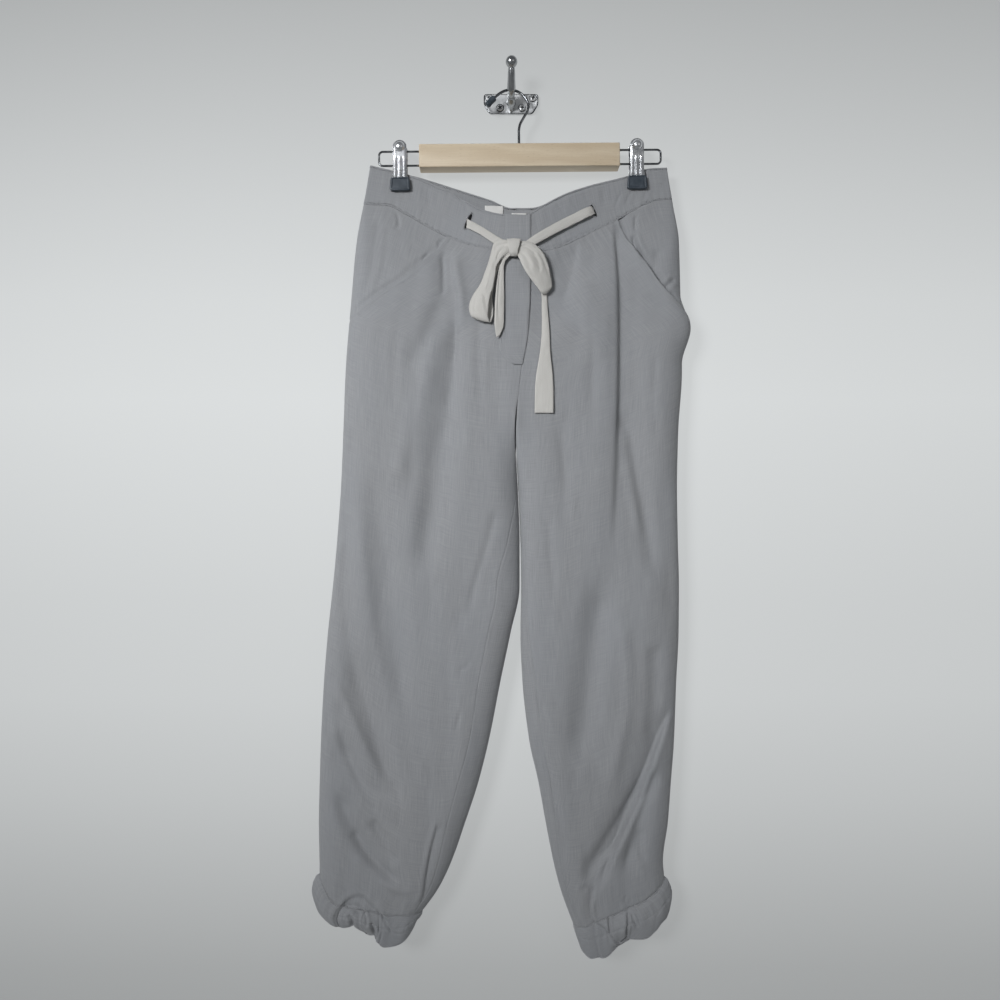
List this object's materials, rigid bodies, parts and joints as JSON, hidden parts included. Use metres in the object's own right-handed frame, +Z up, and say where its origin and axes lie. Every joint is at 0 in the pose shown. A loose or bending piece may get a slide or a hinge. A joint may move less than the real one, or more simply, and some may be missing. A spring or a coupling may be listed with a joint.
{
  "type": "linen drawstring trousers on clip hanger with wall hook",
  "caption": "Linen drawstring trousers with slanted pockets and gathered ankle cuffs, clipped to a wooden-bar trouser hanger that hangs from a wall coat hook.",
  "frame": {"origin": "middle of the coat hook plate's back face, on the wall", "axes": "+Z up; +Y into the wall; -Y towards the viewer, the trousers' front; +X to the viewer's right, the wearer's left"},
  "size_m": [0.4818, 0.0587, 1.1577],
  "materials": {
    "linen": "matt grey melange linen, plain weave",
    "tape": "flat off-white cotton tape",
    "label": "bare white woven label",
    "beech": "pale wood, thin satin lacquer",
    "chrome": "bright plated steel",
    "rubber": "dark soft clip tip"
  },
  "bodies": {
    "root": {"waistband_front_right": "linen", "waistband_front_left": "linen", "waistband_back": "linen", "waistband_tab": "linen", "leg_front_right": "linen", "leg_front_left": "linen", "leg_back_right": "linen", "leg_back_left": "linen", "pocket_facing_right": "linen", "pocket_facing_left": "linen", "fly_placket": "linen", "cuff_right": "linen", "cuff_left": "linen", "label_main": "label", "label_small": "label", "drawstring_run_right": "tape", "drawstring_run_left": "tape", "drawstring_loop_right": "tape", "drawstring_loop_left": "tape", "drawstring_tail_right": "tape", "drawstring_tail_left": "tape", "drawstring_knot": "tape", "hanger_bar": "beech", "hanger_hook": "chrome", "hanger_wire_right": "chrome", "hanger_wire_left": "chrome", "clip_front_jaw_right": "chrome", "clip_back_jaw_right": "chrome", "clip_front_tip_right": "rubber", "clip_back_tip_right": "rubber", "clip_spring_right": "chrome", "clip_dome_right": "chrome", "clip_front_jaw_left": "chrome", "clip_back_jaw_left": "chrome", "clip_front_tip_left": "rubber", "clip_back_tip_left": "rubber", "clip_spring_left": "chrome", "clip_dome_left": "chrome", "hook_plate": "chrome", "hook_arm": "chrome", "hook_screw_1": "chrome", "hook_screw_2": "chrome", "hook_screw_3": "chrome", "hook_screw_4": "chrome"}
  },
  "joints": []
}
